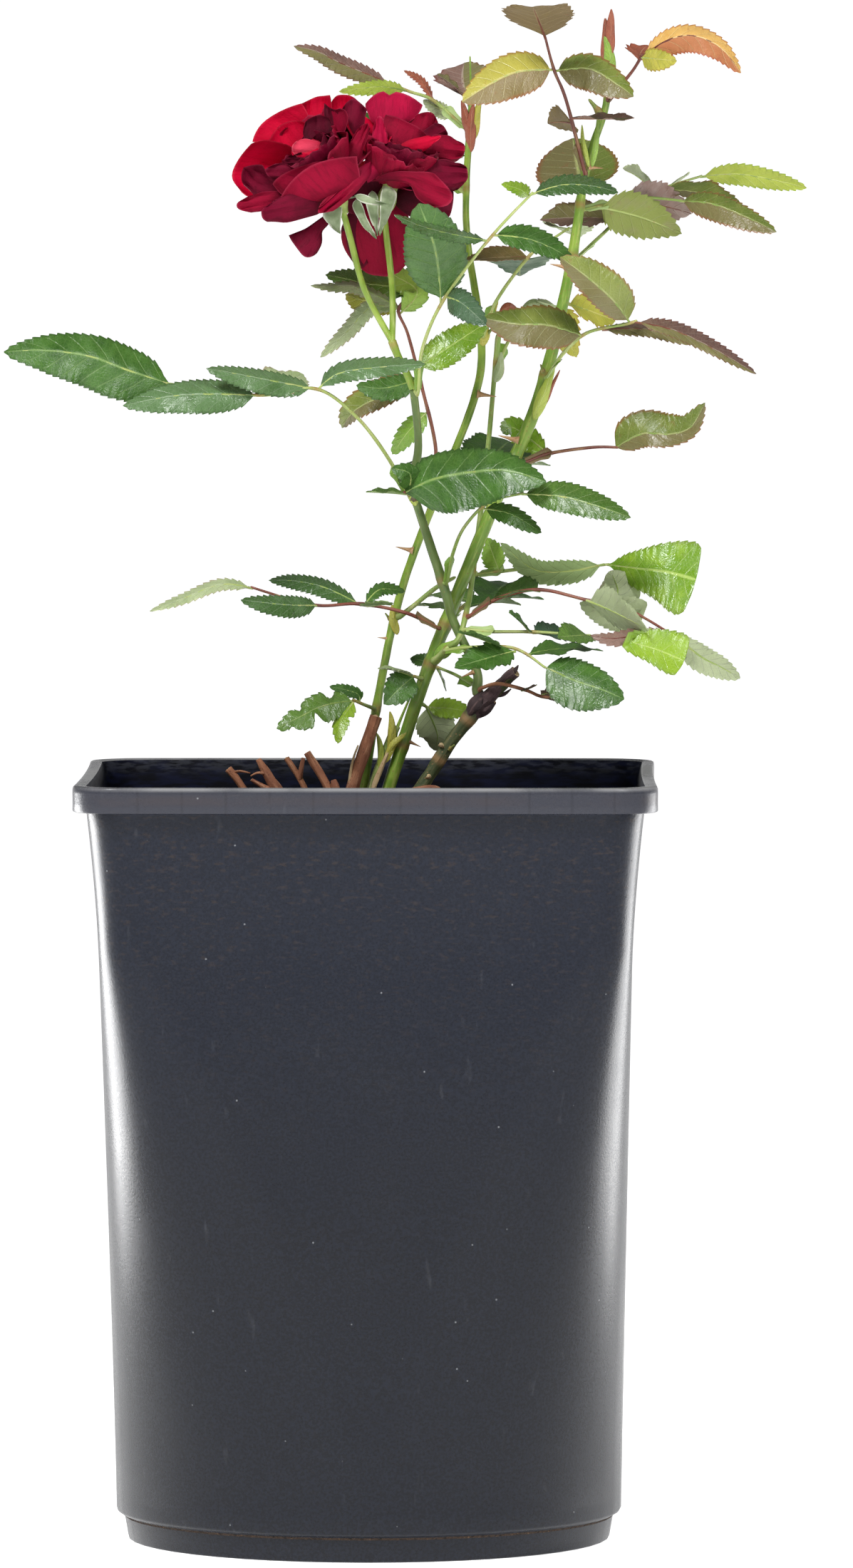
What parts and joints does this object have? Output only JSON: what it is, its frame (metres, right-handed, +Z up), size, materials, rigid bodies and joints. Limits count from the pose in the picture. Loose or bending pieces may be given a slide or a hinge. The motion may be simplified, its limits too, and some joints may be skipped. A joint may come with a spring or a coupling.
{
  "type": "potted climbing rose",
  "caption": "Potted climbing rose: cut-back canes with young shoots, compound leaves and double red blooms, standing in a deep square-topped pot on a round foot.",
  "frame": {"origin": "middle of the pot's flat underside, which stands on the ground", "axes": "+Z up along the plant, +X to the right and -Y towards the front, as the rose is seen with its blooms to the left of the tall canes"},
  "size_m": [0.2629, 0.1912, 0.5051],
  "materials": {
    "pot": "charcoal moulded plastic with a fine mottled grain",
    "compost": "dark bark compost",
    "green_cane": "smooth green young cane",
    "pale_cane": "pale green thin shoot",
    "old_cane": "green-brown bark with tan leaf scars",
    "dead_wood": "dry brown cut-back stub",
    "leaf": "glossy dark green leaflets",
    "young_leaf": "bronze and olive young leaflets",
    "lime_leaf": "bright yellow-green leaflets",
    "petal": "velvety crimson petals",
    "withered_leaf": "dry curled dark leaflets"
  },
  "bodies": {
    "root": {"arm_leaf": "leaf", "bloom_cane": "old_cane", "bloom_spray": "petal", "broad_leaf": "leaf", "bronze_leaf": "young_leaf", "compost": "compost", "crest_leaf": "young_leaf", "droop_leaf": "young_leaf", "eaten_leaf": "lime_leaf", "elbow_leaf": "lime_leaf", "front_leaf": "leaf", "gold_leaf": "young_leaf", "hang_leaf": "lime_leaf", "inner_leaf": "leaf", "left_leaf": "leaf", "low_leaf": "lime_leaf", "main_cane": "green_cane", "moon_leaf": "young_leaf", "old_cane": "old_cane", "oval_leaf": "leaf", "pot": "pot", "reach_leaf": "lime_leaf", "rear_high_leaf": "leaf", "rear_low_leaf": "leaf", "rear_mid_leaf": "leaf", "shade_leaf": "leaf", "shaggy_stub": "pale_cane", "side_cane": "pale_cane", "sill_leaf": "leaf", "spur_leaf": "leaf", "stub_left": "dead_wood", "stub_near": "dead_wood", "stub_thick": "dead_wood", "stub_thin": "dead_wood", "tall_cane": "green_cane", "tall_stub": "dead_wood", "thin_leaf": "leaf", "thin_shoot": "pale_cane", "top_leaf": "young_leaf", "tuck_leaf": "leaf", "twist_leaf": "lime_leaf", "wing_leaf": "leaf", "withered_leaf": "withered_leaf", "yellow_leaf": "lime_leaf"}
  },
  "joints": []
}
